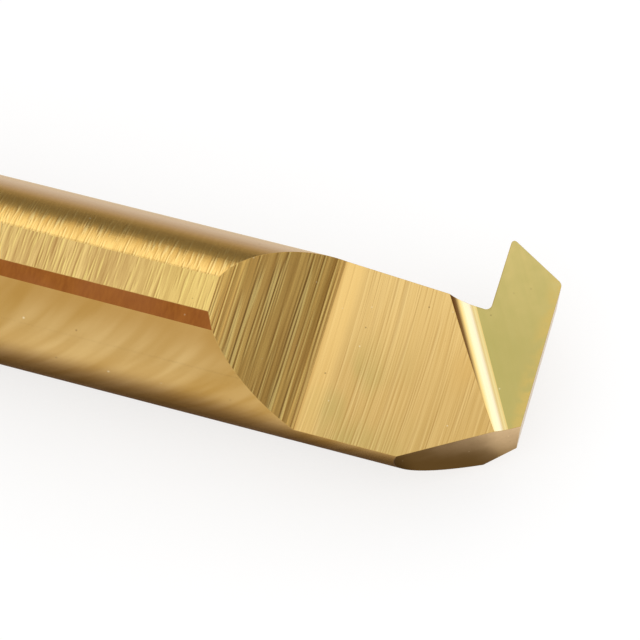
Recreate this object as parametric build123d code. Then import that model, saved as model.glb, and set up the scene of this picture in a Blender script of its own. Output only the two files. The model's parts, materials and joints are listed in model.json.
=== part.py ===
"""Solid-carbide boring bar with a back-facing cutting tip, ground from one rod.

Frame, in millimetres: X runs along the bar's axis towards the tip, Y points to the side that the
tip reaches out to, and Z is square to the flat of the head. The origin is on the axis where the
shank ends and the thinner neck begins.
"""

from build123d import *
import os
from math import cos, radians, sin, sqrt, tan

# Bar
SHANK_DIAMETER = 6.0
SHANK_LENGTH = 28.0
REAR_CHAMFER = 0.5
NECK_DIAMETER = 5.6
NECK_LENGTH = 22.0  # end of the shank to the front edge
NECK_RUNOUT = 0.2  # length of the cone between shank and neck
TOP_FLAT_DEPTH = 0.055  # clamping flat along the top, below the crown of the neck
FACET_DEPTH = 0.012  # narrow facet beside the flat, below the round of the neck
FACET_TILT = 16.5  # facet's lean from the top flat towards the side away from the tip

# Head
HEAD_LENGTH = 6.4  # foot of the ramp to the front edge
HEAD_FLAT_HEIGHT = 0.55  # above the axis
RAMP_LENGTH = 3.05
RAMP_CROWN_RADIUS = 16.0
BEVEL_LENGTH = 3.35  # along the axis, on the side away from the tip
BEVEL_ANGLE = 30.0  # from the axis
SIDE_RELIEF_ANGLE = 3.5  # the side behind the tip draws in towards the tip's root
CHIN_DEPTH = 1.4  # front face, from the axis down to the chamfer under it
CHIN_ANGLE = 42.0  # chamfer under the front face, from the axis

# Tip
TIP_REACH = 4.96  # axis to the sharp corner that the nose radius rounds
TIP_WIDTH = 1.9
LEAD_ANGLE = 31.0  # outer edge, from the axis
RAKE_ANGLE = 4.0  # top face falls towards the tip, which lies at the height of the axis
END_CLEARANCE = 4.5  # front and back faces of the tip
LEAD_CLEARANCE = 7.0
HEEL_ANGLE = 20.0  # underside of the tip, tangent to the bar
NOSE_RADIUS = 0.11
CORNER_RADIUS = 0.19
ROOT_RADIUS = 0.18

# Rake pocket
POCKET_SETBACK = 0.93  # foot of its curved wall to the front edge, on the axis
POCKET_ANGLE = 29.0  # foot of the wall, from square across the bar
POCKET_WALL_RADIUS = 0.85

SHANK_RADIUS = SHANK_DIAMETER / 2
NECK_RADIUS = NECK_DIAMETER / 2
RAMP_FOOT_X = NECK_LENGTH - HEAD_LENGTH
TIP_BACK_X = NECK_LENGTH - TIP_WIDTH
GRIND_ALLOWANCE = TIP_WIDTH / 4  # stock left on the tip's outer faces for grinding
CUT_SPAN = SHANK_LENGTH + NECK_LENGTH + TIP_REACH  # longer than anything that a cut must clear


def rod():
    """Round shank with a chamfered rear end, and its neck, left long at the front."""
    stock_end = NECK_LENGTH + GRIND_ALLOWANCE
    profile = Polygon(
        (-SHANK_LENGTH, 0),
        (-SHANK_LENGTH, SHANK_RADIUS - REAR_CHAMFER),
        (REAR_CHAMFER - SHANK_LENGTH, SHANK_RADIUS),
        (0, SHANK_RADIUS),
        (NECK_RUNOUT, NECK_RADIUS),
        (stock_end, NECK_RADIUS),
        (stock_end, 0),
        align=None,
    )
    return revolve(profile, Axis.X)


def ground_flat(work, point, normal):
    """Grind a plane face through a point; the normal points out of the finished face."""
    return split(work, bisect_by=Plane(origin=point, z_dir=normal), keep=Keep.BOTTOM)


def tip_blank():
    """Block that the tip is ground from; its underside is tangent to the neck."""
    heel, lean = radians(HEEL_ANGLE), radians(END_CLEARANCE)
    side_y = TIP_REACH + GRIND_ALLOWANCE
    section = Polygon(
        (0, HEAD_FLAT_HEIGHT),
        (0, 0),
        (NECK_RADIUS * sin(heel), -NECK_RADIUS * cos(heel)),
        (side_y, side_y * tan(heel) - NECK_RADIUS / cos(heel)),
        (side_y, HEAD_FLAT_HEIGHT),
        align=None,
    )
    stock = extrude(Plane.YZ.offset(TIP_BACK_X) * section, TIP_WIDTH + GRIND_ALLOWANCE)
    return ground_flat(stock, (TIP_BACK_X, 0, HEAD_FLAT_HEIGHT), (-cos(lean), 0, -sin(lean)))


def front_relief(work):
    """Front face, which leans back below the head's flat."""
    lean = radians(END_CLEARANCE)
    return ground_flat(work, (NECK_LENGTH, 0, HEAD_FLAT_HEIGHT), (cos(lean), 0, -sin(lean)))


def lead_flank(work):
    """Outer face of the tip, through its sharp corner."""
    lead, lean = radians(LEAD_ANGLE), radians(LEAD_CLEARANCE)
    normal = (sin(lead) * cos(lean), cos(lead) * cos(lean), -sin(lean))
    return ground_flat(work, (TIP_BACK_X, TIP_REACH, 0), normal)


def side_pocket():
    """Space behind the tip, with the side relief of the head and the radius at the tip's root."""
    flat_half_width = sqrt(NECK_RADIUS**2 - HEAD_FLAT_HEIGHT**2)
    relief_length = TIP_BACK_X - RAMP_FOOT_X
    root_y = flat_half_width - relief_length * tan(radians(SIDE_RELIEF_ANGLE))
    outline = Polygon(
        (RAMP_FOOT_X, flat_half_width),
        (TIP_BACK_X, root_y),
        (TIP_BACK_X, CUT_SPAN),
        (RAMP_FOOT_X, CUT_SPAN),
        align=None,
    )
    outline = fillet(outline.vertices().sort_by(Axis.Y)[0], ROOT_RADIUS)
    lean = radians(END_CLEARANCE)
    cut_depth = (HEAD_FLAT_HEIGHT + NECK_RADIUS) / cos(lean)
    return extrude(Pos(Z=HEAD_FLAT_HEIGHT) * outline, cut_depth, dir=(sin(lean), 0, -cos(lean)))


def rounded_tip(work):
    """Radii on the tip's two outer corners: the nose at the back and the corner at the front."""
    for radius, outward in ((NOSE_RADIUS, Axis.Y), (CORNER_RADIUS, Axis.X)):
        outer = work.edges().filter_by(lambda edge: edge.center().Y > NECK_RADIUS)
        upright = outer.filter_by(lambda edge: abs((edge % 0.5).Z) > cos(radians(45)))
        work = fillet(upright.sort_by(outward)[-1], radius)
    return work


def near_bevel(work):
    """Upright face that cuts the front of the head back on the side away from the tip."""
    bevel = radians(BEVEL_ANGLE)
    start = (NECK_LENGTH - BEVEL_LENGTH, -NECK_RADIUS, 0)
    return ground_flat(work, start, (sin(bevel), -cos(bevel), 0))


def chin_chamfer(work):
    """Chamfer under the front face."""
    chin = radians(CHIN_ANGLE)
    return ground_flat(work, (NECK_LENGTH, 0, -CHIN_DEPTH), (sin(chin), 0, -cos(chin)))


def narrow_facet(work):
    """Facet along the bar beside the top flat."""
    lean = radians(FACET_TILT)
    normal = Vector(0, -sin(lean), cos(lean))
    return ground_flat(work, normal * (NECK_RADIUS - FACET_DEPTH), normal)


def top_cut():
    """Everything above the clamping flat, the crowned ramp and the flat of the head."""
    top_flat_z = NECK_RADIUS - TOP_FLAT_DEPTH
    ramp_top, ramp_foot = (RAMP_FOOT_X - RAMP_LENGTH, top_flat_z), (RAMP_FOOT_X, HEAD_FLAT_HEIGHT)
    behind, ahead = -CUT_SPAN, CUT_SPAN
    outline = Polyline((behind, CUT_SPAN), (behind, top_flat_z), ramp_top)
    outline += RadiusArc(ramp_top, ramp_foot, RAMP_CROWN_RADIUS)
    outline += Polyline(ramp_foot, (ahead, HEAD_FLAT_HEIGHT), (ahead, CUT_SPAN), (behind, CUT_SPAN))
    return extrude(Plane.XZ * make_face(outline), CUT_SPAN, both=True)


def rake_pocket():
    """Sweep of the wheel that grinds the rake face and the curved wall behind it."""
    across, rake = radians(POCKET_ANGLE), radians(RAKE_ANGLE)
    foot = (NECK_LENGTH - POCKET_SETBACK, 0, TIP_REACH * tan(rake))
    travel = Vector(sin(across), -cos(across), cos(across) * tan(rake)).normalized()
    face_normal = Vector(0, sin(rake), cos(rake))
    section_plane = Plane(origin=foot, x_dir=face_normal.cross(travel), z_dir=travel)
    wall_top = (-POCKET_WALL_RADIUS, POCKET_WALL_RADIUS)
    outline = RadiusArc(wall_top, (0, 0), -POCKET_WALL_RADIUS)
    outline += Polyline((0, 0), (CUT_SPAN, 0), (CUT_SPAN, CUT_SPAN), (wall_top[0], CUT_SPAN), wall_top)
    return extrude(section_plane * make_face(outline), CUT_SPAN, both=True)


def boring_bar():
    """Rod and tip stock, then each ground face in turn."""
    work = rod() + tip_blank()
    work = front_relief(work)
    work = lead_flank(work)
    work -= side_pocket()
    work = rounded_tip(work)
    work = near_bevel(work)
    work = chin_chamfer(work)
    work = narrow_facet(work)
    work -= top_cut()
    work -= rake_pocket()
    return work


if __name__ == "__main__":
    os.makedirs("parts", exist_ok=True)
    export_step(boring_bar(), "parts/boring_bar.step")
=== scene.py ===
"""Boring bar ground from one carbide rod, with a thin gold coating.

The bar is cut here as it is in the grinding shop: a round rod and a block for the tip are joined,
and each face is then ground in turn. Every face has a finish of its own, with the marks that its
grinding wheel left. Sizes are in millimetres until the finished mesh is scaled to metres.
"""

import json
from math import cos, pi, radians, sin, sqrt, tan

import bmesh
import bpy
from mathutils import Matrix, Vector, noise

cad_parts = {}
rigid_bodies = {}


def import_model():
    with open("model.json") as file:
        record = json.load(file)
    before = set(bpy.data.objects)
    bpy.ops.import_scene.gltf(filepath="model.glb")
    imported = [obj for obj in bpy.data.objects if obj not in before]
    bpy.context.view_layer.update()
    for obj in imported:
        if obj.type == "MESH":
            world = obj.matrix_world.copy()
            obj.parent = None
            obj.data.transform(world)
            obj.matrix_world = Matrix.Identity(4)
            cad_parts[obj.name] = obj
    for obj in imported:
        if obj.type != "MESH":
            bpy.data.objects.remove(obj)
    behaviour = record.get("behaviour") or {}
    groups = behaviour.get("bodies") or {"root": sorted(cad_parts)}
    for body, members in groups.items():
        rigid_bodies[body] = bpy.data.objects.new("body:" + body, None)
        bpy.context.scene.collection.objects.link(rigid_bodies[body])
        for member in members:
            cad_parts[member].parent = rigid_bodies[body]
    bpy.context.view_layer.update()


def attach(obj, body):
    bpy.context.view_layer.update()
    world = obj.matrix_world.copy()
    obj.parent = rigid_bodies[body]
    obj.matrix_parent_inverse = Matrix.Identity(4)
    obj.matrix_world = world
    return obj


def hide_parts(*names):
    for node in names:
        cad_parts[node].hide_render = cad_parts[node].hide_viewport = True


# ---- sizes in millimetres; X runs to the tip, Y to the side that the tip reaches to, Z is up ----
MM = 0.001
SHANK_RADIUS = 3.0
SHANK_LENGTH = 28.0
REAR_CHAMFER = 0.5
NECK_RADIUS = 2.8
NECK_LENGTH = 22.0  # end of the shank to the front edge
NECK_RUNOUT = 0.2  # length of the cone between shank and neck
TOP_FLAT_DEPTH = 0.055  # clamping flat along the top, below the crown of the neck
FACET_DEPTH = 0.012  # narrow facet beside the flat, below the round of the neck
FACET_TILT = radians(16.5)
HEAD_LENGTH = 6.4  # foot of the ramp to the front edge
HEAD_FLAT_Z = 0.55
RAMP_LENGTH = 3.05
RAMP_CROWN_RADIUS = 16.0
BEVEL_LENGTH = 3.35
BEVEL_ANGLE = radians(30)
SIDE_RELIEF_ANGLE = radians(3.5)
CHIN_DEPTH = 1.4  # front face, from the axis down to the chamfer under it
CHIN_ANGLE = radians(42)
TIP_REACH = 4.96  # axis to the sharp corner that the nose radius rounds
TIP_WIDTH = 1.9
LEAD_ANGLE = radians(31)
RAKE_ANGLE = radians(4)
END_CLEARANCE = radians(4.5)
LEAD_CLEARANCE = radians(7)
HEEL_ANGLE = radians(20)
NOSE_RADIUS = 0.11
CORNER_RADIUS = 0.19
ROOT_RADIUS = 0.18
POCKET_SETBACK = 0.93  # foot of the pocket's wall to the front edge, on the axis
POCKET_ANGLE = radians(29)
POCKET_WALL_RADIUS = 0.85
EDGE_ROUND = 0.007  # brushing and the coating round every sharp edge a little

TOP_FLAT_Z = NECK_RADIUS - TOP_FLAT_DEPTH
RAMP_FOOT_X = NECK_LENGTH - HEAD_LENGTH
RAMP_TOP_X = RAMP_FOOT_X - RAMP_LENGTH
TIP_BACK_X = NECK_LENGTH - TIP_WIDTH
STOCK = 0.5  # left on outer faces for grinding
REACH = 60.0  # longer than anything that a cut must clear

# ---- ridges of the ramp and of the head's flat, as real relief ----
RAMP_RIDGE_PITCH, RAMP_RIDGE_DEPTH = 0.11, 0.0045
FLAT_RIDGE_PITCH, FLAT_RIDGE_DEPTH = 0.2, 0.0008
RIDGE_WANDER = 0.02  # how far a ridge strays along the bar
WANDER_RATE = 0.35  # strays to each millimetre across the bar
FINE_RIDGES = 2.7  # fine ridges to each broad one
BROAD_CHANGE, FINE_CHANGE = 0.06, 0.12  # how soon a ridge changes across the bar, per millimetre
BROAD_SHARE, FINE_SHARE = 0.75, 0.45  # of the broad and the fine ridges, in the height
WANDER_SEED, FINE_SEED, STEP_SEED = 3.1, 9.0, 0.5
STEP_APART = 7.31  # between neighbouring steps in the noise, so that they don't follow each other

# ---- how finely the mesh is divided ----
ROD_SEGMENTS = 200
RAMP_SEGMENTS = 24
ROOT_SEGMENTS = 8
WALL_SEGMENTS = 28
CORNER_SEGMENTS = 7
EDGE_SEGMENTS = 2
ROUND_PROFILE = 0.5  # of a bevel
SHARP_ANGLE = radians(13)  # an edge that turns by more is rounded
UPRIGHT = 0.7  # least rise of an upright edge, as a share of its length
WELD = 0.001  # points this close are one
SLIVER = 0.0008  # edges this short are closed up
ON_PLANE = 1e-5  # points this close to a cutting plane lie on it
NORMAL_WEIGHT = 50  # the larger a face, the more the normals keep to it

# ---- finishes, in the order of the mesh's material slots ----
FINISHES = (
    "round_ground",
    "shank_end",
    "top_flat",
    "narrow_facet",
    "ramp",
    "head_flat",
    "pocket_wall",
    "rake_face",
    "relief",
    "near_bevel",
    "broken_edge",
)
SLOT = {name: index for index, name in enumerate(FINISHES)}

# ---- what the finishes share ----
NOISE_RANGE = (0.3, 0.7)  # nearly all of what the noise of the wheel marks gives
CREST_RANGE = (0.555, 0.65)  # noise where a crest starts, and where it is full
DRIFT_RANGE = (0.25, 0.75)  # nearly all of what the noise of the coating's drift gives
LINE_WIDTH = 0.045  # millimetres from a crest to its groove
BROAD_HEIGHT, FINE_HEIGHT = 0.6, 0.4  # shares of broad and fine marks in the relief
GRAIN_SHIFT = (3.0, 5.0, 7.0)  # keeps the grains off the pits
SPECKED_CELLS = (0.78, 0.8)  # about a fifth of the cells hold a speck
SPECK_REACH = 0.09  # radius of the largest specks, as a share of their spacing
RIM_BLEND = 0.3  # how far in from its rim a round starts to count as edge-on
GRAZING_SHARPNESS = 4.0  # power that keeps the paler tone close to the rim
ROUND_STREAK = 0.055  # radians by which a streak of the round turns its normal
CLOUD_LEAN = -1.1  # clouds of the round, along the bar for each millimetre up


def placed(name, data):
    """A new object in the scene."""
    obj = bpy.data.objects.new(name, data)
    bpy.context.scene.collection.objects.link(obj)
    return obj


# =================================== grinding the bar ===================================


def mesh_object(name, vertices, faces, finishes):
    """A closed mesh in millimetres, with a finish for each face."""
    mesh = bpy.data.meshes.new(name)
    mesh.from_pydata([tuple(v) for v in vertices], [], faces)
    for finish in FINISHES:
        mesh.materials.append(MATERIALS[finish])
    for face, finish in zip(mesh.polygons, finishes):
        face.material_index = SLOT[finish]
    obj = placed(name, mesh)
    with_mesh(obj, lambda work: bmesh.ops.recalc_face_normals(work, faces=work.faces))
    return obj


def with_mesh(obj, change):
    """Let change work on the object's mesh."""
    work = bmesh.new()
    work.from_mesh(obj.data)
    change(work)
    work.to_mesh(obj.data)
    work.free()


def settle_modifiers(obj):
    """Give the object the mesh that its modifiers make of it."""
    settled = obj.evaluated_get(bpy.context.evaluated_depsgraph_get())
    settled_mesh = bpy.data.meshes.new_from_object(settled)
    obj.modifiers.clear()
    rough_mesh, obj.data = obj.data, settled_mesh
    bpy.data.meshes.remove(rough_mesh)


def prism(name, outline, travel, finish, side_finishes=None):
    """A closed outline of points, swept along travel."""
    travel, count = Vector(travel), len(outline)
    vertices = [Vector(p) for p in outline] + [Vector(p) + travel for p in outline]
    sides = [(i, (i + 1) % count, (i + 1) % count + count, i + count) for i in range(count)]
    faces = [tuple(range(count)), tuple(range(2 * count - 1, count - 1, -1))] + sides
    finishes = [finish, finish] + list(side_finishes or [finish] * count)
    return mesh_object(name, vertices, faces, finishes)


def rod():
    """Round shank with a chamfered rear end, and its neck, left long at the front."""
    profile = (
        (-SHANK_LENGTH, SHANK_RADIUS - REAR_CHAMFER, "shank_end"),
        (REAR_CHAMFER - SHANK_LENGTH, SHANK_RADIUS, "round_ground"),
        (0, SHANK_RADIUS, "shank_end"),
        (NECK_RUNOUT, NECK_RADIUS, "round_ground"),
        (NECK_LENGTH + STOCK, NECK_RADIUS, None),
    )
    vertices, faces, finishes = [], [], []
    for x, radius, _ in profile:
        for i in range(ROD_SEGMENTS):
            turn = 2 * pi * i / ROD_SEGMENTS
            vertices.append((x, radius * sin(turn), radius * cos(turn)))
    for ring, (_, _, finish) in enumerate(profile[:-1]):
        start, ahead = ring * ROD_SEGMENTS, (ring + 1) * ROD_SEGMENTS
        for i in range(ROD_SEGMENTS):
            j = (i + 1) % ROD_SEGMENTS
            faces.append((start + i, start + j, ahead + j, ahead + i))
            finishes.append(finish)
    last = (len(profile) - 1) * ROD_SEGMENTS
    faces += [tuple(range(ROD_SEGMENTS)), tuple(range(last, last + ROD_SEGMENTS))]
    finishes += ["shank_end", "relief"]
    return mesh_object("bar", vertices, faces, finishes)


def tip_blank():
    """Block that the tip is ground from; its underside is tangent to the neck."""
    side_y = TIP_REACH + STOCK
    section = (
        (0, HEAD_FLAT_Z),
        (0, 0),
        (NECK_RADIUS * sin(HEEL_ANGLE), -NECK_RADIUS * cos(HEEL_ANGLE)),
        (side_y, side_y * tan(HEEL_ANGLE) - NECK_RADIUS / cos(HEEL_ANGLE)),
        (side_y, HEAD_FLAT_Z),
    )
    outline = [(TIP_BACK_X + (HEAD_FLAT_Z - z) * tan(END_CLEARANCE), y, z) for y, z in section]
    return prism("tip_blank", outline, (TIP_WIDTH + STOCK, 0, 0), "relief")


def apply_boolean(work, tool, operation):
    """Join a block to the work, or cut it away, and discard the tool."""
    step = work.modifiers.new("step", "BOOLEAN")
    step.operation, step.solver, step.object = operation, "EXACT", tool
    step.material_mode = "INDEX"
    settle_modifiers(work)
    tool_mesh = tool.data
    bpy.data.objects.remove(tool)
    bpy.data.meshes.remove(tool_mesh)
    with_mesh(work, lambda mesh: bmesh.ops.remove_doubles(mesh, verts=mesh.verts, dist=WELD))


def ground_flat(mesh, point, normal, finish):
    """Grind a plane face through a point; the normal points out of the finished face."""
    parts = mesh.verts[:] + mesh.edges[:] + mesh.faces[:]
    cut = bmesh.ops.bisect_plane(
        mesh, geom=parts, dist=ON_PLANE, plane_co=point, plane_no=normal, clear_outer=True
    )
    rim = [e for e in cut["geom_cut"] if isinstance(e, bmesh.types.BMEdge) and e.is_boundary]
    for face in bmesh.ops.contextual_create(mesh, geom=rim)["faces"]:
        face.material_index = SLOT[finish]


def arc(centre, start, end, radius, segments):
    """Points from start to end, both included, round a centre in a plane."""
    first = Vector(start) - Vector(centre)
    sweep = first.angle_signed(Vector(end) - Vector(centre))
    points = []
    for i in range(segments + 1):
        turned = first.copy()
        turned.rotate(Matrix.Rotation(-sweep * i / segments, 2))
        points.append(Vector(centre) + turned.normalized() * radius)
    return points


def arc_centre(start, end, radius, side):
    """Centre of the arc of a radius through two points, to the left (1) or the right (-1)."""
    start, end = Vector(start), Vector(end)
    chord = end - start
    left = Vector((-chord.y, chord.x)).normalized()
    return (start + end) / 2 + left * side * sqrt(radius**2 - (chord.length / 2) ** 2)


def top_cut():
    """Everything above the clamping flat, the crowned ramp and the flat of the head."""
    ramp_top, ramp_foot = (RAMP_TOP_X, TOP_FLAT_Z), (RAMP_FOOT_X, HEAD_FLAT_Z)
    centre = arc_centre(ramp_top, ramp_foot, RAMP_CROWN_RADIUS, -1)
    ramp = arc(centre, ramp_top, ramp_foot, RAMP_CROWN_RADIUS, RAMP_SEGMENTS)
    outline = [(-REACH, TOP_FLAT_Z)] + [tuple(p) for p in ramp] + [(REACH, HEAD_FLAT_Z)]
    outline += [(REACH, REACH), (-REACH, REACH)]
    sides = ["top_flat"] + ["ramp"] * RAMP_SEGMENTS + ["head_flat"] + ["relief"] * 3
    points = [(x, -REACH, z) for x, z in outline]
    return prism("top_cut", points, (0, 2 * REACH, 0), "relief", sides)


def side_pocket():
    """Space behind the tip, with the side relief of the head and the radius at the tip's root."""
    start_y = sqrt(NECK_RADIUS**2 - HEAD_FLAT_Z**2)
    root = Vector((TIP_BACK_X, start_y - (TIP_BACK_X - RAMP_FOOT_X) * tan(SIDE_RELIEF_ANGLE)))
    reach = ROOT_RADIUS * tan((pi / 2 - SIDE_RELIEF_ANGLE) / 2)
    along = Vector((-cos(SIDE_RELIEF_ANGLE), sin(SIDE_RELIEF_ANGLE)))
    first, last = root + along * reach, root + Vector((0, reach))
    centre = Vector((TIP_BACK_X - ROOT_RADIUS, last.y))
    corner = arc(centre, first, last, ROOT_RADIUS, ROOT_SEGMENTS)
    outline = [Vector((RAMP_FOOT_X, start_y))] + corner
    outline += [Vector((TIP_BACK_X, REACH)), Vector((RAMP_FOOT_X, REACH))]
    clear = 1.0  # the cut starts this far above the head's flat
    down = Vector((tan(END_CLEARANCE), 0, -1))
    points = [Vector((p.x, p.y, HEAD_FLAT_Z)) - down * clear for p in outline]
    return prism("side_pocket", points, down * (2 * NECK_RADIUS + clear), "relief")


def rake_pocket():
    """Sweep of the wheel that grinds the rake face and the curved wall behind it."""
    foot = Vector((NECK_LENGTH - POCKET_SETBACK, 0, TIP_REACH * tan(RAKE_ANGLE)))
    travel = Vector((sin(POCKET_ANGLE), -cos(POCKET_ANGLE), cos(POCKET_ANGLE) * tan(RAKE_ANGLE)))
    travel.normalize()
    up = Vector((0, sin(RAKE_ANGLE), cos(RAKE_ANGLE)))
    ahead = up.cross(travel)
    radius = POCKET_WALL_RADIUS
    wall = arc((0, radius), (-radius, radius), (0, 0), radius, WALL_SEGMENTS)
    outline = [tuple(p) for p in wall] + [(REACH, 0), (REACH, REACH), (-radius, REACH)]
    sides = ["pocket_wall"] * WALL_SEGMENTS + ["rake_face"] + ["pocket_wall"] * 3
    points = [foot + ahead * u + up * v - travel * REACH for u, v in outline]
    return prism("rake_pocket", points, travel * 2 * REACH, "pocket_wall", sides)


def tip_faces(mesh):
    """Front relief and the outer, lead flank of the tip."""
    lean = END_CLEARANCE
    ground_flat(mesh, (NECK_LENGTH, 0, HEAD_FLAT_Z), (cos(lean), 0, -sin(lean)), "relief")
    lead, lean = LEAD_ANGLE, LEAD_CLEARANCE
    normal = (sin(lead) * cos(lean), cos(lead) * cos(lean), -sin(lean))
    ground_flat(mesh, (TIP_BACK_X, TIP_REACH, 0), normal, "relief")


def rounded_corner(mesh, axis, radius, corner_angle):
    """Radius on the upright edge of the tip that lies furthest out along an axis, x or y."""
    upright = [
        e
        for e in mesh.edges
        if min(v.co.y for v in e.verts) > NECK_RADIUS
        and abs((e.verts[1].co - e.verts[0].co).normalized().z) > UPRIGHT
    ]
    bmesh.ops.bevel(
        mesh,
        geom=[max(upright, key=lambda e: getattr(e.verts[0].co, axis))],
        offset=radius / tan(corner_angle / 2),
        offset_type="OFFSET",
        segments=CORNER_SEGMENTS,
        profile=ROUND_PROFILE,
        affect="EDGES",
        clamp_overlap=False,
        material=SLOT["relief"],
    )


def outer_faces(mesh):
    """Radii of the tip, the near bevel, the chin and the narrow facet."""
    rounded_corner(mesh, "y", NOSE_RADIUS, pi / 2 - LEAD_ANGLE)
    rounded_corner(mesh, "x", CORNER_RADIUS, pi / 2 + LEAD_ANGLE)
    start = (NECK_LENGTH - BEVEL_LENGTH, -NECK_RADIUS, 0)
    ground_flat(mesh, start, (sin(BEVEL_ANGLE), -cos(BEVEL_ANGLE), 0), "near_bevel")
    chin = (sin(CHIN_ANGLE), 0, -cos(CHIN_ANGLE))
    ground_flat(mesh, (NECK_LENGTH, 0, -CHIN_DEPTH), chin, "relief")
    normal = Vector((0, -sin(FACET_TILT), cos(FACET_TILT)))
    ground_flat(mesh, normal * (NECK_RADIUS - FACET_DEPTH), normal, "narrow_facet")


def broken_edges(mesh):
    """Round every sharp edge a little."""
    bmesh.ops.dissolve_degenerate(mesh, dist=SLIVER, edges=mesh.edges)
    sharp = [e for e in mesh.edges if len(e.link_faces) == 2 and e.calc_face_angle() > SHARP_ANGLE]
    bmesh.ops.bevel(
        mesh,
        geom=sharp,
        offset=EDGE_ROUND,
        offset_type="OFFSET",
        segments=EDGE_SEGMENTS,
        profile=ROUND_PROFILE,
        affect="EDGES",
        clamp_overlap=False,
        loop_slide=True,
        material=SLOT["broken_edge"],
    )


def sliced(mesh, finish, normal, distances):
    """Divide the faces of one finish, and the edges round them, by planes square to normal."""
    kinds = (SLOT[finish], SLOT["broken_edge"])
    for distance in distances:
        faces = [f for f in mesh.faces if f.material_index in kinds]
        parts = dict.fromkeys(part for f in faces for part in (*f.verts, *f.edges, f))
        bmesh.ops.bisect_plane(
            mesh, geom=list(parts), dist=ON_PLANE, plane_co=normal * distance, plane_no=normal
        )


def uneven_steps(start, end, pitch, unevenness, seed):
    """Distances from start to end, a pitch apart on average."""
    count = int((end - start) / pitch)
    strays = [noise.noise(Vector((i * STEP_APART, seed, STEP_SEED))) for i in range(count)]
    return [start + pitch * (i + 0.5 + unevenness * stray) for i, stray in enumerate(strays)]


def ridge_height(x, y, pitch, seed):
    """Height, about -1 to 1, of the uneven ridges that a coarse wheel leaves across the bar."""
    place = x + RIDGE_WANDER * noise.noise(Vector((y * WANDER_RATE, seed, WANDER_SEED)))
    broad = noise.noise(Vector((place / pitch, y * BROAD_CHANGE, seed)))
    fine = noise.noise(Vector((place / pitch * FINE_RIDGES, y * FINE_CHANGE, seed + FINE_SEED)))
    return BROAD_SHARE * broad + FINE_SHARE * fine


def ridged(mesh, finish, pitch, depth, seed):
    """Push the faces of one finish in and out by its ridges."""
    mesh.normal_update()
    moves = {}
    for face in mesh.faces:
        if face.material_index == SLOT[finish]:
            for v in face.verts:
                moves[v] = moves.get(v, Vector()) + face.normal
    for v, normal in moves.items():
        v.co += normal.normalized() * depth * ridge_height(v.co.x, v.co.y, pitch, seed)


def wheel_marks(mesh):
    """Divide the ramp and the head's flat finely enough for ridges, and then raise them."""
    slices = (  # finish, its two ends along the bar, pitch along and across, first seed
        ("ramp", (RAMP_TOP_X, RAMP_FOOT_X), 0.028, 0.28, 1.0),
        ("head_flat", (RAMP_FOOT_X, NECK_LENGTH), 0.06, 0.4, 3.0),
    )
    for finish, ends, pitch_along, pitch_across, seed in slices:
        along = uneven_steps(*ends, pitch_along, unevenness=0.3, seed=seed)
        sliced(mesh, finish, Vector((1, 0, 0)), along)
        across = uneven_steps(-NECK_RADIUS, NECK_RADIUS, pitch_across, unevenness=0.2, seed=seed + 1)
        sliced(mesh, finish, Vector((0, 1, 0)), across)
    ridged(mesh, "ramp", RAMP_RIDGE_PITCH, RAMP_RIDGE_DEPTH, seed=5.0)
    ridged(mesh, "head_flat", FLAT_RIDGE_PITCH, FLAT_RIDGE_DEPTH, seed=6.0)


def soft_shading(obj):
    """Smooth normals that keep to the large faces."""
    for face in obj.data.polygons:
        face.use_smooth = True
    weighted = obj.modifiers.new("normals", "WEIGHTED_NORMAL")
    weighted.mode, weighted.weight, weighted.keep_sharp = "FACE_AREA", NORMAL_WEIGHT, True
    settle_modifiers(obj)


def ground_bar():
    """The whole bar as one closed mesh, still in millimetres."""
    bar = rod()
    apply_boolean(bar, tip_blank(), "UNION")
    with_mesh(bar, tip_faces)
    apply_boolean(bar, side_pocket(), "DIFFERENCE")
    with_mesh(bar, outer_faces)
    apply_boolean(bar, top_cut(), "DIFFERENCE")
    apply_boolean(bar, rake_pocket(), "DIFFERENCE")
    with_mesh(bar, broken_edges)
    with_mesh(bar, wheel_marks)
    soft_shading(bar)
    return bar


# =================================== finishes ===================================


def srgb(red, green, blue):
    """A colour given as 0-255 screen values, as the linear values that a shader takes."""
    return tuple(
        c / 12.92 if c <= 0.04045 else ((c + 0.055) / 1.055) ** 2.4
        for c in (red / 255, green / 255, blue / 255)
    ) + (1.0,)


PIT_BROWN = srgb(92, 66, 34)
GRAIN_CREAM = srgb(250, 236, 200)
# pale gold of the painted sheen at grazing angles
GRAZING_SHEEN_GOLD = srgb(252, 238, 208)


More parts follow.
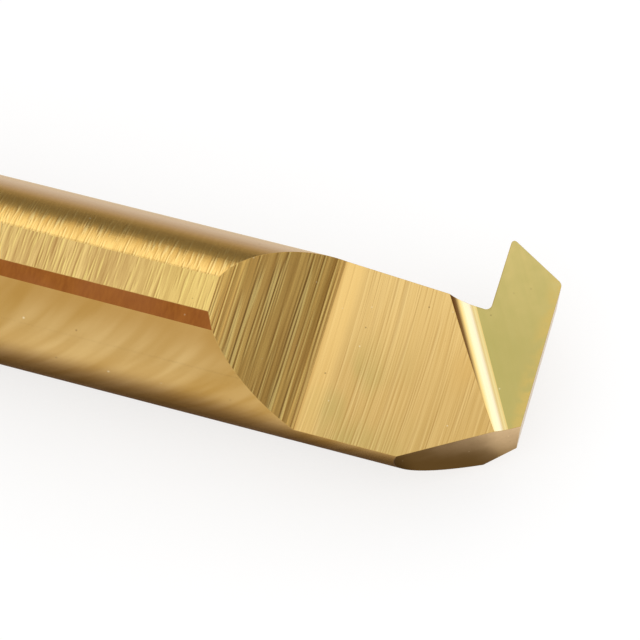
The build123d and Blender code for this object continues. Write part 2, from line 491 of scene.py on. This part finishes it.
class Graph:
    """Short way to place shader nodes and to join them."""

    def __init__(self, tree):
        self.tree = tree

    def add(self, kind, inputs=None, **settings):
        """A node with its settings, and its inputs joined or set."""
        node = self.tree.nodes.new(kind)
        for key, value in settings.items():
            setattr(node, key, value)
        for key, value in (inputs or {}).items():
            self.feed(node.inputs[key], value)
        return node

    def feed(self, socket, value):
        """Join an output to a socket, or set the socket to a plain value."""
        if isinstance(value, bpy.types.NodeSocket):
            self.tree.links.new(value, socket)
        else:
            socket.default_value = value

    def math(self, operation, a, b):
        return self.add("ShaderNodeMath", {0: a, 1: b}, operation=operation).outputs[0]

    def plus(self, a, b):
        return self.math("ADD", a, b)

    def times(self, a, b):
        return self.math("MULTIPLY", a, b)

    def ratio(self, a, b):
        return self.math("DIVIDE", a, b)

    def ramp(self, value, low, high, to_low=0.0, to_high=1.0, smooth=False):
        """Value between low and high, as a value between to_low and to_high."""
        inputs = {0: value, 1: low, 2: high, 3: to_low, 4: to_high}
        kind = "SMOOTHSTEP" if smooth else "LINEAR"
        return self.add("ShaderNodeMapRange", inputs, interpolation_type=kind).outputs[0]

    def mix(self, factor, a, b):
        """Colour between two, by a factor of 0 to 1."""
        node = self.add("ShaderNodeMix", data_type="RGBA")
        for index, value in ((0, factor), (6, a), (7, b)):
            self.feed(node.inputs[index], value)
        return node.outputs[2]

    def noise(self, place, scale, detail, roughness):
        inputs = {"Vector": place, "Scale": scale, "Detail": detail, "Roughness": roughness}
        return self.add("ShaderNodeTexNoise", inputs).outputs["Fac"]

    def vector(self, x=0.0, y=0.0, z=0.0):
        return self.add("ShaderNodeCombineXYZ", {0: x, 1: y, 2: z}).outputs[0]

    def moved(self, place, by):
        return self.add("ShaderNodeVectorMath", {0: place, 1: by}).outputs[0]

    def scaled(self, place, factor):
        inputs = {0: place, 3: factor}
        return self.add("ShaderNodeVectorMath", inputs, operation="SCALE").outputs[0]

    def turned(self, vector, angle, axis):
        """A vector turned about an axis, X or Z."""
        inputs = {"Vector": vector, "Angle": angle}
        kind = f"{axis}_AXIS"
        return self.add("ShaderNodeVectorRotate", inputs, rotation_type=kind).outputs[0]

    def place(self):
        """Place on the bar, in metres."""
        return self.add("ShaderNodeTexCoord").outputs["Object"]

    def place_in_mm(self):
        return self.scaled(self.place(), 1 / MM)

    def axes(self, place):
        """Outputs X, Y and Z of a place."""
        return self.add("ShaderNodeSeparateXYZ", {0: place}).outputs


def group_of(name, inputs, outputs):
    """Graph of a new node group of plain numbers, with its input and output sockets."""
    tree = bpy.data.node_groups.new(name, "ShaderNodeTree")
    for label, value in inputs.items():
        made = tree.interface.new_socket(name=label, in_out="INPUT", socket_type="NodeSocketFloat")
        made.default_value = value
    for label in outputs:
        tree.interface.new_socket(name=label, in_out="OUTPUT", socket_type="NodeSocketFloat")
    graph = Graph(tree)
    return graph, graph.add("NodeGroupInput").outputs, graph.add("NodeGroupOutput").inputs


def wheel_mark_group():
    """Long marks of a grinding wheel, square to X before they are turned about Z.

    Broad and Fine are tones from 0 to 1. Lines are masks of painted glints along sparse crests, and
    Grooves of painted shade in a groove at the side of each.
    """
    graph, given, result = group_of(
        "wheel_marks",
        {"Turn": 0.0, "Bow": 0.0, "Pitch": 0.1, "Length": 3.0, "Seed": 0.0},
        ("Broad", "Fine", "Crest_glints", "Groove_shade", "Height"),
    )
    x, y, z = graph.axes(graph.turned(graph.place_in_mm(), given["Turn"], "Z"))
    bowed = graph.times(graph.times(y, y), given["Bow"])
    across = graph.ratio(graph.plus(x, bowed), given["Pitch"])
    along_y = graph.ratio(y, given["Length"])
    along_z = graph.plus(graph.ratio(z, given["Length"]), given["Seed"])
    stretched = graph.vector(across, along_y, along_z)
    broad = graph.noise(stretched, scale=1.0, detail=2.0, roughness=0.55)
    fine = graph.noise(stretched, scale=3.7, detail=3.0, roughness=0.6)
    beside = graph.moved(stretched, graph.vector(graph.ratio(LINE_WIDTH, given["Pitch"])))
    for label, place in (("Crest_glints", stretched), ("Groove_shade", beside)):
        sharp = graph.noise(place, scale=3.2, detail=1.0, roughness=0.5)
        graph.feed(result[label], graph.ramp(sharp, *CREST_RANGE))
    graph.feed(result["Broad"], graph.ramp(broad, *NOISE_RANGE))
    graph.feed(result["Fine"], graph.ramp(fine, *NOISE_RANGE))
    height = graph.plus(graph.times(broad, BROAD_HEIGHT), graph.times(fine, FINE_HEIGHT))
    graph.feed(result["Height"], height)
    return graph.tree


def coating_drift_group():
    """Slow change of the coating's tone over the surface, 0 to 1."""
    graph, given, result = group_of(
        "coating_drift", {"Size": 1.5, "Stretch": 1.0, "Lean": 0.0, "Seed": 0.0}, ("Tone",)
    )
    x, y, z = graph.axes(graph.place())
    scale = graph.ratio(1 / MM, given["Size"])
    slow = graph.ratio(scale, given["Stretch"])
    lifted = graph.plus(graph.times(z, slow), given["Seed"])
    leaning = graph.plus(x, graph.times(z, given["Lean"]))
    spot = graph.vector(graph.times(leaning, scale), graph.times(y, slow), lifted)
    cloud = graph.noise(spot, scale=1.0, detail=1.5, roughness=0.4)
    graph.feed(result["Tone"], graph.ramp(cloud, *DRIFT_RANGE, smooth=True))
    return graph.tree


def speck_group():
    """Tiny pits in the coating and pale grains on it, as masks."""
    graph, given, result = group_of("specks", {"Spacing": 0.4, "Seed": 0.0}, ("Pits", "Grains"))
    spot = graph.scaled(graph.place(), graph.ratio(1 / MM, given["Spacing"]))
    for label, place in (("Pits", spot), ("Grains", graph.moved(spot, GRAIN_SHIFT))):
        seeded = graph.moved(place, graph.vector(z=given["Seed"]))
        cells = graph.add("ShaderNodeTexVoronoi", {"Vector": seeded, "Scale": 1.0})
        chance = graph.add("ShaderNodeSeparateColor", {0: cells.outputs["Color"]}).outputs[0]
        chosen = graph.ramp(chance, *SPECKED_CELLS)
        reach = graph.times(chance, SPECK_REACH)
        dot = graph.ramp(cells.outputs["Distance"], graph.times(reach, 0.5), reach, 1.0, 0.0)
        graph.feed(result[label], graph.times(chosen, dot))
    return graph.tree


GROUPS = {
    "wheel_marks": wheel_mark_group(),
    "coating_drift": coating_drift_group(),
    "specks": speck_group(),
}


class Metal:
    """One finish of the gold-coated carbide, built up in layers and closed by done()."""

    def __init__(self, name, roughness):
        self.material = bpy.data.materials.new(name)
        self.material.use_nodes = True
        self.graph = Graph(self.material.node_tree)
        self.shader = self.material.node_tree.nodes["Principled BSDF"]
        self.shader.inputs["Metallic"].default_value = 1.0
        self.shader.inputs["Roughness"].default_value = roughness
        self.colour = None

    def group(self, name, **values):
        """Outputs of a node group, placed with its own values."""
        node = self.graph.add("ShaderNodeGroup", node_tree=GROUPS[name])
        for label, value in values.items():
            self.graph.feed(node.inputs[label.capitalize()], value)
        return node.outputs

    def drift(self, **values):
        """Cloudy tone of 0 to 1."""
        return self.group("coating_drift", **values)["Tone"]

    def tone(self, factor, low, high):
        """First colour, between two, by a factor of 0 to 1."""
        self.colour = self.graph.mix(factor, low, high)

    def lay(self, mask, colour, strength=1.0):
        """Lay a colour over what is there, where the mask is 1."""
        self.colour = self.graph.mix(self.graph.times(mask, strength), self.colour, colour)

    def specks(self, spacing, seed, pit=0.5, grain=0.5):
        """Pits and grains, a spacing in millimetres apart."""
        dots = self.group("specks", spacing=spacing, seed=seed)
        self.lay(dots["Pits"], PIT_BROWN, pit)
        self.lay(dots["Grains"], GRAIN_CREAM, grain)

    def bump(self, height, depth):
        """Low relief, of a depth in millimetres."""
        node = self.graph.add("ShaderNodeBump", {"Strength": 1.0, "Distance": depth * MM})
        self.graph.feed(node.inputs["Height"], height)
        self.graph.feed(self.shader.inputs["Normal"], node.outputs[0])

    def grazing_tint(self, colour):
        """Colour of what the metal mirrors at a grazing angle."""
        self.shader.inputs["Specular Tint"].default_value = colour

    def rim(self):
        """How edge-on the surface is seen, 0 to 1."""
        return self.graph.add("ShaderNodeLayerWeight", {"Blend": RIM_BLEND}).outputs["Facing"]

    # grazing is the share of the painted sheen
    def done(self, grazing=0.5):
        """Painted sheen: paler where the surface is seen at a grazing angle, laid into the colour."""
        self.lay(self.graph.math("POWER", self.rim(), GRAZING_SHARPNESS), GRAZING_SHEEN_GOLD, grazing)
        self.graph.feed(self.shader.inputs["Base Color"], self.colour)
        return self.material


def round_finish():
    """Centreless-ground round: fine streaks on the far side, cloudy and smoother on the near side,
    with painted reflections in bands by the side it faces.
    """
    metal = Metal("round_ground", roughness=0.26)
    graph = metal.graph
    y = graph.axes(graph.place_in_mm())["Y"]
    marks = metal.group("wheel_marks", pitch=0.15, length=2.2, seed=1.0)
    wisps = metal.drift(size=0.42, stretch=4.0, lean=CLOUD_LEAN, seed=2.0)
    blotches = metal.drift(size=1.7, stretch=1.6, lean=CLOUD_LEAN, seed=5.0)
    cloud = graph.times(graph.plus(wisps, blotches), 0.5)
    metal.tone(cloud, srgb(185, 144, 74), srgb(214, 179, 116))
    # Painted reflections by the side the round faces: painted shade beside the facet, a painted
    # highlight over the far side, and painted shade on the far shoulder and far edge.
    painted_shade_by_facet = graph.ramp(y, -2.0, -1.1, smooth=True)
    far_side = graph.ramp(y, -0.9, 0.4, smooth=True)
    painted_shade_far_shoulder = graph.ramp(y, 0.6, 1.2, smooth=True)
    painted_shade_far_edge = graph.ramp(y, 1.2, 2.0, smooth=True)
    metal.lay(painted_shade_by_facet, srgb(179, 134, 64), 0.6)
    metal.lay(far_side, srgb(238, 200, 120))
    metal.lay(painted_shade_far_shoulder, srgb(206, 164, 88), 0.9)
    metal.lay(painted_shade_far_edge, srgb(164, 126, 74), 0.9)
    streaked = graph.times(far_side, graph.ramp(y, 1.8, 1.05, 0.1, 1.0, smooth=True))
    shade = graph.plus(graph.times(marks["Broad"], 0.4), marks["Fine"])
    metal.lay(graph.times(graph.ramp(shade, 0.5, 1.1), streaked), srgb(186, 140, 66), 0.5)
    # Painted shade in the grooves and painted glints on the crests.
    metal.lay(graph.times(marks["Groove_shade"], streaked), srgb(160, 118, 56), 0.5)
    metal.lay(graph.times(marks["Crest_glints"], streaked), srgb(255, 232, 160), 0.4)
    uneven = graph.plus(marks["Fine"], graph.times(marks["Broad"], 0.8))
    turn = graph.times(graph.math("SUBTRACT", uneven, 0.9), ROUND_STREAK)
    facing = graph.add("ShaderNodeNewGeometry").outputs["Normal"]
    streaky_normal = graph.turned(facing, graph.times(turn, streaked), "X")
    graph.feed(metal.shader.inputs["Normal"], streaky_normal)
    # Painted sheen: a pale rim where the far half is seen edge-on, and a painted grazing sheen that
    # is stronger on the far side.
    far_half = graph.ramp(y, 0.0, 1.5)
    painted_rim_sheen = graph.times(graph.ramp(metal.rim(), 0.3, 0.62, smooth=True), far_half)
    metal.lay(painted_rim_sheen, srgb(222, 208, 202), 0.85)
    metal.specks(spacing=0.55, seed=3.0, pit=0.45)
    metal.grazing_tint(srgb(232, 212, 178))
    return metal.done(grazing=graph.ramp(y, -1.0, 1.0, 0.1, 0.9))


def marked_finish(name, roughness, dark, light, pitch, length, seed, depth, bow=0.0, broad=0.5):
    """A face with long wheel marks in two tones: its metal, and the outputs of its marks.

    Pitch, length and depth of the marks are in millimetres. Bow bends them along the bar, and
    broad is the share of the broad marks in the tone.
    """
    metal = Metal(name, roughness)
    graph = metal.graph
    marks = metal.group("wheel_marks", pitch=pitch, length=length, seed=seed, bow=bow)
    tone = graph.plus(graph.times(marks["Broad"], broad), graph.times(marks["Fine"], 1 - broad))
    metal.tone(tone, dark, light)
    metal.bump(marks["Height"], depth)
    return metal, marks


def top_flat_finish():
    """Clamping flat: strong crosswise marks, yellow to a pinkish brown, brightest by the head."""
    dark, light = srgb(175, 134, 76), srgb(247, 215, 138)
    metal, marks = marked_finish(
        "top_flat", 0.27, dark, light, pitch=0.19, length=4.0, seed=11.0, depth=0.0012
    )
    graph = metal.graph
    x = graph.axes(graph.place_in_mm())["X"]
    by_head = graph.ramp(x, 9.4, 12.3, smooth=True)
    metal.lay(metal.drift(size=0.9, seed=12.0), srgb(206, 166, 104), 0.2)
    metal.lay(by_head, srgb(255, 226, 128), 0.35)
    # Painted shade in the grooves and painted glints on the crests.
    metal.lay(marks["Groove_shade"], srgb(160, 114, 60), 0.42)
    metal.lay(marks["Crest_glints"], srgb(255, 230, 140), 0.5)
    metal.specks(spacing=0.4, seed=13.0)
    return metal.done()


def facet_finish():
    """Narrow facet, copper-brown."""
    dark, light = srgb(136, 78, 32), srgb(162, 100, 42)
    metal, _ = marked_finish(
        "narrow_facet", 0.34, dark, light, pitch=0.35, length=1.2, seed=21.0, depth=0.0003
    )
    metal.lay(metal.drift(size=1.3, seed=23.0), srgb(158, 98, 56), 0.4)
    metal.specks(spacing=0.5, seed=22.0, pit=0.3, grain=0.2)
    metal.grazing_tint(srgb(240, 206, 170))
    return metal.done(grazing=0.1)


def ramp_finish():
    """Ramp of the head: coarse ridges, with painted glints on bright crests and painted shade in
    brown hollows.
    """
    dark, light = srgb(150, 108, 46), srgb(240, 200, 114)
    metal, marks = marked_finish(
        "ramp", 0.24, dark, light, pitch=0.2, length=14.0, seed=31.0, depth=0.0022, broad=0.68
    )
    graph = metal.graph
    x = graph.axes(graph.place_in_mm())["X"]
    lower_half = graph.ramp(x, RAMP_FOOT_X - 1.8, RAMP_FOOT_X - 0.2, smooth=True)
    at_foot = graph.ramp(x, RAMP_FOOT_X - 0.18, RAMP_FOOT_X, smooth=True)
    metal.lay(metal.drift(size=1.0, stretch=2.0, seed=33.0), srgb(196, 146, 82), 0.3)
    # Painted shade in the grooves and painted glints on the crests.
    metal.lay(marks["Groove_shade"], srgb(112, 74, 30), 0.66)
    metal.lay(marks["Crest_glints"], srgb(255, 226, 142), 0.6)
    metal.lay(lower_half, srgb(136, 94, 40), 0.12)
    metal.lay(at_foot, srgb(200, 152, 84), 0.55)
    metal.specks(spacing=0.35, seed=32.0)
    return metal.done()


def head_flat_finish():
    """Finely ground flat: brighter band beside the ramp, greener towards the near side, with painted
    light: darker towards the near side, brighter towards the far side.
    """
    dark, light = srgb(200, 160, 90), srgb(240, 204, 134)
    metal, marks = marked_finish(
        "head_flat", 0.24, dark, light, pitch=0.13, length=12.0, seed=41.0, depth=0.0007, bow=0.01
    )
    graph = metal.graph
    x, y, _ = graph.axes(graph.place_in_mm())
    cloud = metal.drift(size=1.1, stretch=1.6, seed=42.0)
    near_side = graph.times(graph.ramp(y, 1.5, -2.0, smooth=True), graph.ramp(x, 19.8, 17.0))
    patchy = graph.times(near_side, graph.ramp(cloud, 0.1, 0.8))
    metal.lay(patchy, srgb(188, 174, 104), 0.7)
    square_to_wall = graph.plus(x, graph.times(y, tan(POCKET_ANGLE)))
    by_wall = graph.times(graph.ramp(square_to_wall, 19.2, 20.2), cloud)
    metal.lay(by_wall, srgb(216, 171, 94), 0.6)
    # Painted shade towards the near side, and painted light towards the far side.
    metal.lay(graph.ramp(y, 1.0, -2.7), srgb(186, 154, 88), 0.3)
    metal.lay(graph.ramp(y, -0.5, 2.4), srgb(250, 216, 142), 0.35)
    # Painted shade in the grooves and painted glints on the crests.
    metal.lay(marks["Groove_shade"], srgb(170, 126, 66), 0.35)
    metal.lay(marks["Crest_glints"], srgb(255, 226, 156), 0.25)
    by_ramp = graph.ramp(x, 16.35, 16.05, smooth=True)
    # The band beside the ramp is painted stronger on the far side, as painted light.
    far_side_painted_stronger = graph.ramp(y, -3.0, 0.5, 0.5, 1.0)
    metal.lay(graph.times(by_ramp, far_side_painted_stronger), srgb(248, 208, 130), 0.6)
    metal.lay(graph.ramp(x, RAMP_FOOT_X + 0.1, RAMP_FOOT_X), srgb(204, 158, 88), 0.6)
    metal.specks(spacing=0.4, seed=43.0)
    return metal.done()


def pocket_finish(name, roughness, stops, seed):
    """Face of the rake pocket, in bands of colour.

    A stop is a distance in millimetres ahead of the foot of the pocket's wall, and a colour.
    """
    metal = Metal(name, roughness)
    graph = metal.graph
    foot = Vector((NECK_LENGTH - POCKET_SETBACK, 0, 0))
    ahead = Vector((cos(POCKET_ANGLE), sin(POCKET_ANGLE), 0))
    from_foot = {0: graph.place_in_mm(), 1: foot}
    shifted = graph.add("ShaderNodeVectorMath", from_foot, operation="SUBTRACT").outputs[0]
    distance = graph.add("ShaderNodeVectorMath", {0: shifted, 1: ahead}, operation="DOT_PRODUCT")
    start, end = stops[0][0], stops[-1][0]
    along = graph.ramp(distance.outputs["Value"], start, end)
    bands = graph.add("ShaderNodeValToRGB", {0: along})
    elements = bands.color_ramp.elements
    while len(elements) < len(stops):
        elements.new(1.0)
    for element, (at, colour) in zip(elements, stops):
        element.position = (at - start) / (end - start)
        element.color = colour
    metal.colour = bands.outputs[0]
    marks = metal.group("wheel_marks", pitch=0.07, length=5.0, seed=seed, turn=-POCKET_ANGLE)
    metal.lay(marks["Fine"], srgb(214, 180, 110), 0.12)
    metal.bump(marks["Height"], depth=0.0002)
    return metal


def wall_finish():
    """Curved wall of the pocket, with painted reflections across its curve: dark painted shade at its
    top, and a bright painted highlight down to its foot.
    """
    # Painted reflections: each band stands for what the wall mirrors at that turn of its curve.
    stops = (
        (-0.72, srgb(104, 70, 34)),
        (-0.57, srgb(116, 80, 38)),
        (-0.46, srgb(238, 206, 132)),
        (-0.36, srgb(244, 232, 190)),
        (-0.2, srgb(246, 234, 200)),
        (-0.12, srgb(232, 204, 136)),
        (-0.08, srgb(244, 226, 160)),
        (0.0, srgb(236, 206, 128)),
    )
    return pocket_finish("pocket_wall", roughness=0.2, stops=stops, seed=51.0).done()


def rake_finish():
    """Polished rake face with a yellow-green tint, warmer along the cutting edges."""
    stops = ((-0.1, srgb(188, 176, 104)), (1.0, srgb(190, 176, 106)))
    metal = pocket_finish("rake_face", roughness=0.22, stops=stops, seed=61.0)
    graph = metal.graph
    x, y, _ = graph.axes(graph.place_in_mm())
    marks = metal.group("wheel_marks", pitch=0.35, length=9.0, seed=62.0, turn=-POCKET_ANGLE)
    patches = metal.drift(size=0.35, seed=64.0)
    outer = graph.ramp(y, 1.5, 4.6)
    metal.lay(outer, srgb(208, 190, 120), 0.6)
    metal.lay(graph.times(marks["Broad"], outer), srgb(226, 200, 130), 0.7)
    metal.lay(patches, srgb(182, 172, 98), 0.25)
    metal.lay(marks["Fine"], srgb(200, 188, 122), 0.12)
    front_edge = graph.ramp(x, 21.45, 21.95, smooth=True)
    metal.lay(graph.times(front_edge, graph.ramp(patches, 0.0, 0.7)), srgb(216, 184, 104), 0.65)
    back_edge = graph.ramp(x, TIP_BACK_X + 0.07, TIP_BACK_X + 0.02)
    past_root = graph.ramp(y, 2.4, 2.8)
    metal.lay(graph.times(back_edge, past_root), srgb(112, 92, 60), 0.7)
    metal.specks(spacing=0.45, seed=63.0, pit=0.3)
    return metal.done()


def relief_finish():
    """Ground reliefs of the tip and the front, which do no cutting: even and a little brown."""
    dark, light = srgb(168, 130, 72), srgb(206, 168, 104)
    metal, _ = marked_finish(
        "relief", 0.3, dark, light, pitch=0.12, length=3.0, seed=71.0, depth=0.0006
    )
    metal.lay(metal.drift(size=1.4, seed=72.0), srgb(176, 142, 92), 0.4)
    metal.specks(spacing=0.4, seed=73.0)
    return metal.done()


def near_bevel_finish():
    """Side bevel, with painted shade: brown and cloudy by the ramp, paler towards the front."""
    metal = Metal("near_bevel", roughness=0.3)
    graph = metal.graph
    x, _, z = graph.axes(graph.place_in_mm())
    # Painted shade and light: the dark brown stands for the shaded table that the bevel mirrors, the
    # pale front for the lit table.
    slanting = graph.plus(x, graph.times(z, 0.9))
    cloud = metal.drift(size=0.8, seed=82.0)
    wavering = graph.plus(slanting, graph.times(graph.math("SUBTRACT", cloud, 0.5), 0.5))
    shade_fading_to_front = graph.ramp(wavering, 18.7, 23.1, smooth=True)
    metal.tone(shade_fading_to_front, srgb(98, 69, 35), srgb(236, 210, 176))
    marks = metal.group("wheel_marks", pitch=0.3, length=0.8, seed=81.0)
    metal.lay(marks["Fine"], srgb(110, 82, 46), 0.12)
    metal.bump(marks["Height"], depth=0.0003)
    metal.specks(spacing=0.35, seed=83.0, grain=0.8)
    metal.grazing_tint(srgb(240, 218, 184))
    return metal.done(grazing=0.3)


def end_finish():
    """Rear end and its chamfer, and the cone between shank and neck."""
    dark, light = srgb(176, 140, 80), srgb(216, 180, 112)
    metal, _ = marked_finish(
        "shank_end", 0.32, dark, light, pitch=0.2, length=2.0, seed=91.0, depth=0.0006
    )
    metal.specks(spacing=0.5, seed=92.0)
    return metal.done()


def edge_finish():
    """Broken edges, in a gold like the round's, with painted shade: brown low on the near side."""
    dark, light = srgb(180, 140, 74), srgb(212, 176, 106)
    metal, _ = marked_finish(
        "broken_edge", 0.24, dark, light, pitch=0.15, length=0.2, seed=101.0, depth=0.0003
    )
    graph = metal.graph
    _, y, z = graph.axes(graph.place_in_mm())
    # Painted shade on the edges that lie low on the near side.
    low = graph.ramp(z, 0.45, 0.25)
    near_side = graph.ramp(y, -0.5, -1.5)
    metal.lay(graph.times(low, near_side), srgb(118, 84, 44), 0.85)
    return metal.done()


MATERIALS = {
    "round_ground": round_finish(),
    "shank_end": end_finish(),
    "top_flat": top_flat_finish(),
    "narrow_facet": facet_finish(),
    "ramp": ramp_finish(),
    "head_flat": head_flat_finish(),
    "pocket_wall": wall_finish(),
    "rake_face": rake_finish(),
    "relief": relief_finish(),
    "near_bevel": near_bevel_finish(),
    "broken_edge": edge_finish(),
}


# =================================== studio ===================================

FLOOR_SIZE = 4  # metres
FLOOR_ALBEDO, FLOOR_GLOW = 0.35, 0.68  # what it scatters, and what it adds where it is seen
FLOOR_ROUGHNESS = 0.9
LAMP_AIM = (0.018, 0, 0)  # by the head, in metres
SOFTBOXES = (  # name, direction from the head, distance, width and height in metres, radiance
    ("far_strip", (-0.5, 0.74, 0.7), 0.5, (0.45, 0.19), 0.42),
    ("front_key", (0.53, 0.7, 0.45), 0.4, (0.17, 0.33), 0.3),
)
CARD_Z = 0.02 - SHANK_RADIUS  # height of the cards that lie on the table
CARDS = (  # name, colour of the light it gives back, corners in millimetres
    (
        "far_flag",
        (0.25, 0.25, 0.25),
        ((-310, 280, 0), (110, 280, 0), (110, 280, 122), (-310, 280, 122)),
    ),
    (
        "far_table",
        (0.5, 0.5, 0.5),
        ((-70, 42, CARD_Z), (18, 42, CARD_Z), (60, 280, CARD_Z), (-310, 280, CARD_Z)),
    ),
    (
        "front_flag",
        (0.55, 0.55, 0.55),
        ((268, 20, 75), (268, 165, 75), (268, 165, 230), (268, 20, 230)),
    ),
    # Painted shadow: a grey card where the bar's shadow lies on the table in front of the bevel, seen
    # only in the bevel.
    (
        "bevel_shadow_card",
        (0.5, 0.46, 0.42),
        ((19.3, -5, CARD_Z), (21.6, -5, CARD_Z), (21.6, -1.2, CARD_Z), (19.3, -2.4, CARD_Z)),
    ),
)
# Painted shadow: rows of dark cards lie where the bar's shadow falls on the table, seen only in the
# bar's reflection.
TABLE_SHADE = (  # share of the white that a row keeps, and the Y of its start at four places
    (0.86, (-14.0, -12.5, -6.2, -6.8)),
    (0.7, (-11.0, -10.0, -5.7, -6.3)),
    (0.52, (-8.8, -8.2, -5.2, -5.8)),
    (0.36, (-7.1, -6.7, -4.8, -5.4)),
    (0.24, (-5.8, -5.5, -4.4, -5.0)),
    (0.14, (-4.4, -4.2, -3.6, -4.0)),
)
SHADE_AT = (-30.0, 11.0, 16.0, 19.3)  # X of the four places
SHADE_END_Y = (1, 0)  # where every row ends under the bar, at the first place and the last
SHADE_STEP_Z = 0.01  # each row lies this much above the one before
SHADE_ROSE = 0.2  # share of its green that a black row would lose; paler rows lose less
ROSE_BLUE = 0.6  # blue that a row loses, as a part of that share

# ---- camera ----
EYE = (30.69, -25.521, 80.909)  # millimetres
AZIMUTH, ELEVATION, ROLL = 30.257, 69.273, -14.494  # degrees
FOCAL_PIXELS = 2888.5  # focal length, in pixels of the picture
PICTURE_PIXELS = 640  # width of the picture
SENSOR_WIDTH = 36.0
CLIP_START, CLIP_END = 0.005, 10.0  # metres


def camera_at(eye, azimuth, elevation, roll, lens):
    """Camera that looks from an eye point along a line of sight, with a roll about it."""
    data = bpy.data.cameras.new("camera")
    data.lens, data.sensor_width = lens, SENSOR_WIDTH
    data.clip_start, data.clip_end = CLIP_START, CLIP_END
    camera = placed("camera", data)
    az, el, roll = radians(azimuth), radians(elevation), radians(roll)
    back = Vector((sin(az) * cos(el), -cos(az) * cos(el), sin(el)))
    level = (-back).cross(Vector((0, 0, 1))).normalized()
    rise = level.cross(-back)
    right = level * cos(roll) + rise * sin(roll)
    up = -level * sin(roll) + rise * cos(roll)
    axes = Matrix((right, up, back)).transposed().to_4x4()
    camera.matrix_world = Matrix.Translation(Vector(eye) * MM) @ axes
    bpy.context.scene.camera = camera


def softbox(name, direction, distance, size, radiance):
    """Soft lamp that faces the head from a direction; size is its width and height."""
    data = bpy.data.lights.new(name, "AREA")
    data.shape, data.size, data.size_y = "RECTANGLE", size[0], size[1]
    data.energy = radiance * pi * size[0] * size[1]
    lamp = placed(name, data)
    towards = Vector(direction).normalized()
    sideways = Vector((0, 0, 1)).cross(towards).normalized()
    turn = Matrix((sideways, towards.cross(sideways), towards)).transposed().to_4x4()
    lamp.matrix_world = Matrix.Translation(Vector(LAMP_AIM) + towards * distance) @ turn


def matte_material(name, colour, glow):
    """Material without gloss, of a colour, that gives out light of another; and its shader."""
    material = bpy.data.materials.new(name)
    material.use_nodes = True
    shader = material.node_tree.nodes["Principled BSDF"]
    shader.inputs["Base Color"].default_value = (*colour, 1)
    shader.inputs["Specular IOR Level"].default_value = 0.0
    shader.inputs["Emission Color"].default_value = (*glow, 1)
    shader.inputs["Emission Strength"].default_value = 1.0
    return material, shader


def dark_card(name, colour, corners):
    """Dark card that the polished metal mirrors, kept out of the picture itself."""
    mesh = bpy.data.meshes.new(name)
    mesh.from_pydata([Vector(p) * MM for p in corners], [], [tuple(range(len(corners)))])
    material, _ = matte_material(name, (0, 0, 0), colour)
    mesh.materials.append(material)
    card = placed(name, mesh)
    card.visible_camera = card.visible_diffuse = card.visible_shadow = False


def table_shade():
    """Rows of dark cards on the table, deeper towards the bar, for its near side to mirror: a painted
    shadow of the bar on the table.
    """
    for row, (grey, starts) in enumerate(TABLE_SHADE):
        height = CARD_Z + SHADE_STEP_Z * row
        front = [(x, y, height) for x, y in zip(SHADE_AT, starts)]
        back = [(SHADE_AT[-1], SHADE_END_Y[1], height), (SHADE_AT[0], SHADE_END_Y[0], height)]
        rose = SHADE_ROSE * (1 - grey)
        colour = (grey, grey * (1 - rose), grey * (1 - ROSE_BLUE * rose))
        dark_card("table_shade", colour, front + back)


def seen_ray(graph):
    """1 for rays that show the background itself: straight, mirrored or through glass."""
    path = graph.add("ShaderNodeLightPath").outputs
    mirrored = graph.math("MAXIMUM", path["Is Glossy Ray"], path["Is Transmission Ray"])
    return graph.math("MAXIMUM", path["Is Camera Ray"], mirrored)


def pale_floor():
    """White table top, which fades into the white of the room and keeps the bar's soft shadow."""
    bpy.ops.mesh.primitive_plane_add(size=FLOOR_SIZE, location=(0, 0, -SHANK_RADIUS * MM))
    floor = bpy.context.object
    floor.name = "floor"
    albedo = (FLOOR_ALBEDO, FLOOR_ALBEDO, FLOOR_ALBEDO)
    material, shader = matte_material("floor_white", albedo, (1, 1, 1))
    shader.inputs["Roughness"].default_value = FLOOR_ROUGHNESS
    graph = Graph(material.node_tree)
    graph.feed(shader.inputs["Emission Strength"], graph.times(seen_ray(graph), FLOOR_GLOW))
    floor.data.materials.append(material)


def studio_world():
    """Plain white room."""
    world = bpy.data.worlds.new("studio")
    bpy.context.scene.world = world
    world.use_nodes = True
    background = world.node_tree.nodes["Background"]
    background.inputs["Color"].default_value = (1, 1, 1, 1)
    background.inputs["Strength"].default_value = 1.0


def studio():
    """Floor, room, softboxes and dark cards."""
    pale_floor()
    studio_world()
    for box in SOFTBOXES:
        softbox(*box)
    for card in CARDS:
        dark_card(*card)
    table_shade()


# =================================== scene ===================================

for leftover in list(bpy.data.objects):
    bpy.data.objects.remove(leftover)
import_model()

bar = ground_bar()
bar.data.transform(Matrix.Scale(MM, 4))
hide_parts("boring_bar")
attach(bar, "root")
camera_at(EYE, AZIMUTH, ELEVATION, ROLL, FOCAL_PIXELS / PICTURE_PIXELS * SENSOR_WIDTH)
studio()
bpy.context.scene.view_settings.view_transform = "Standard"
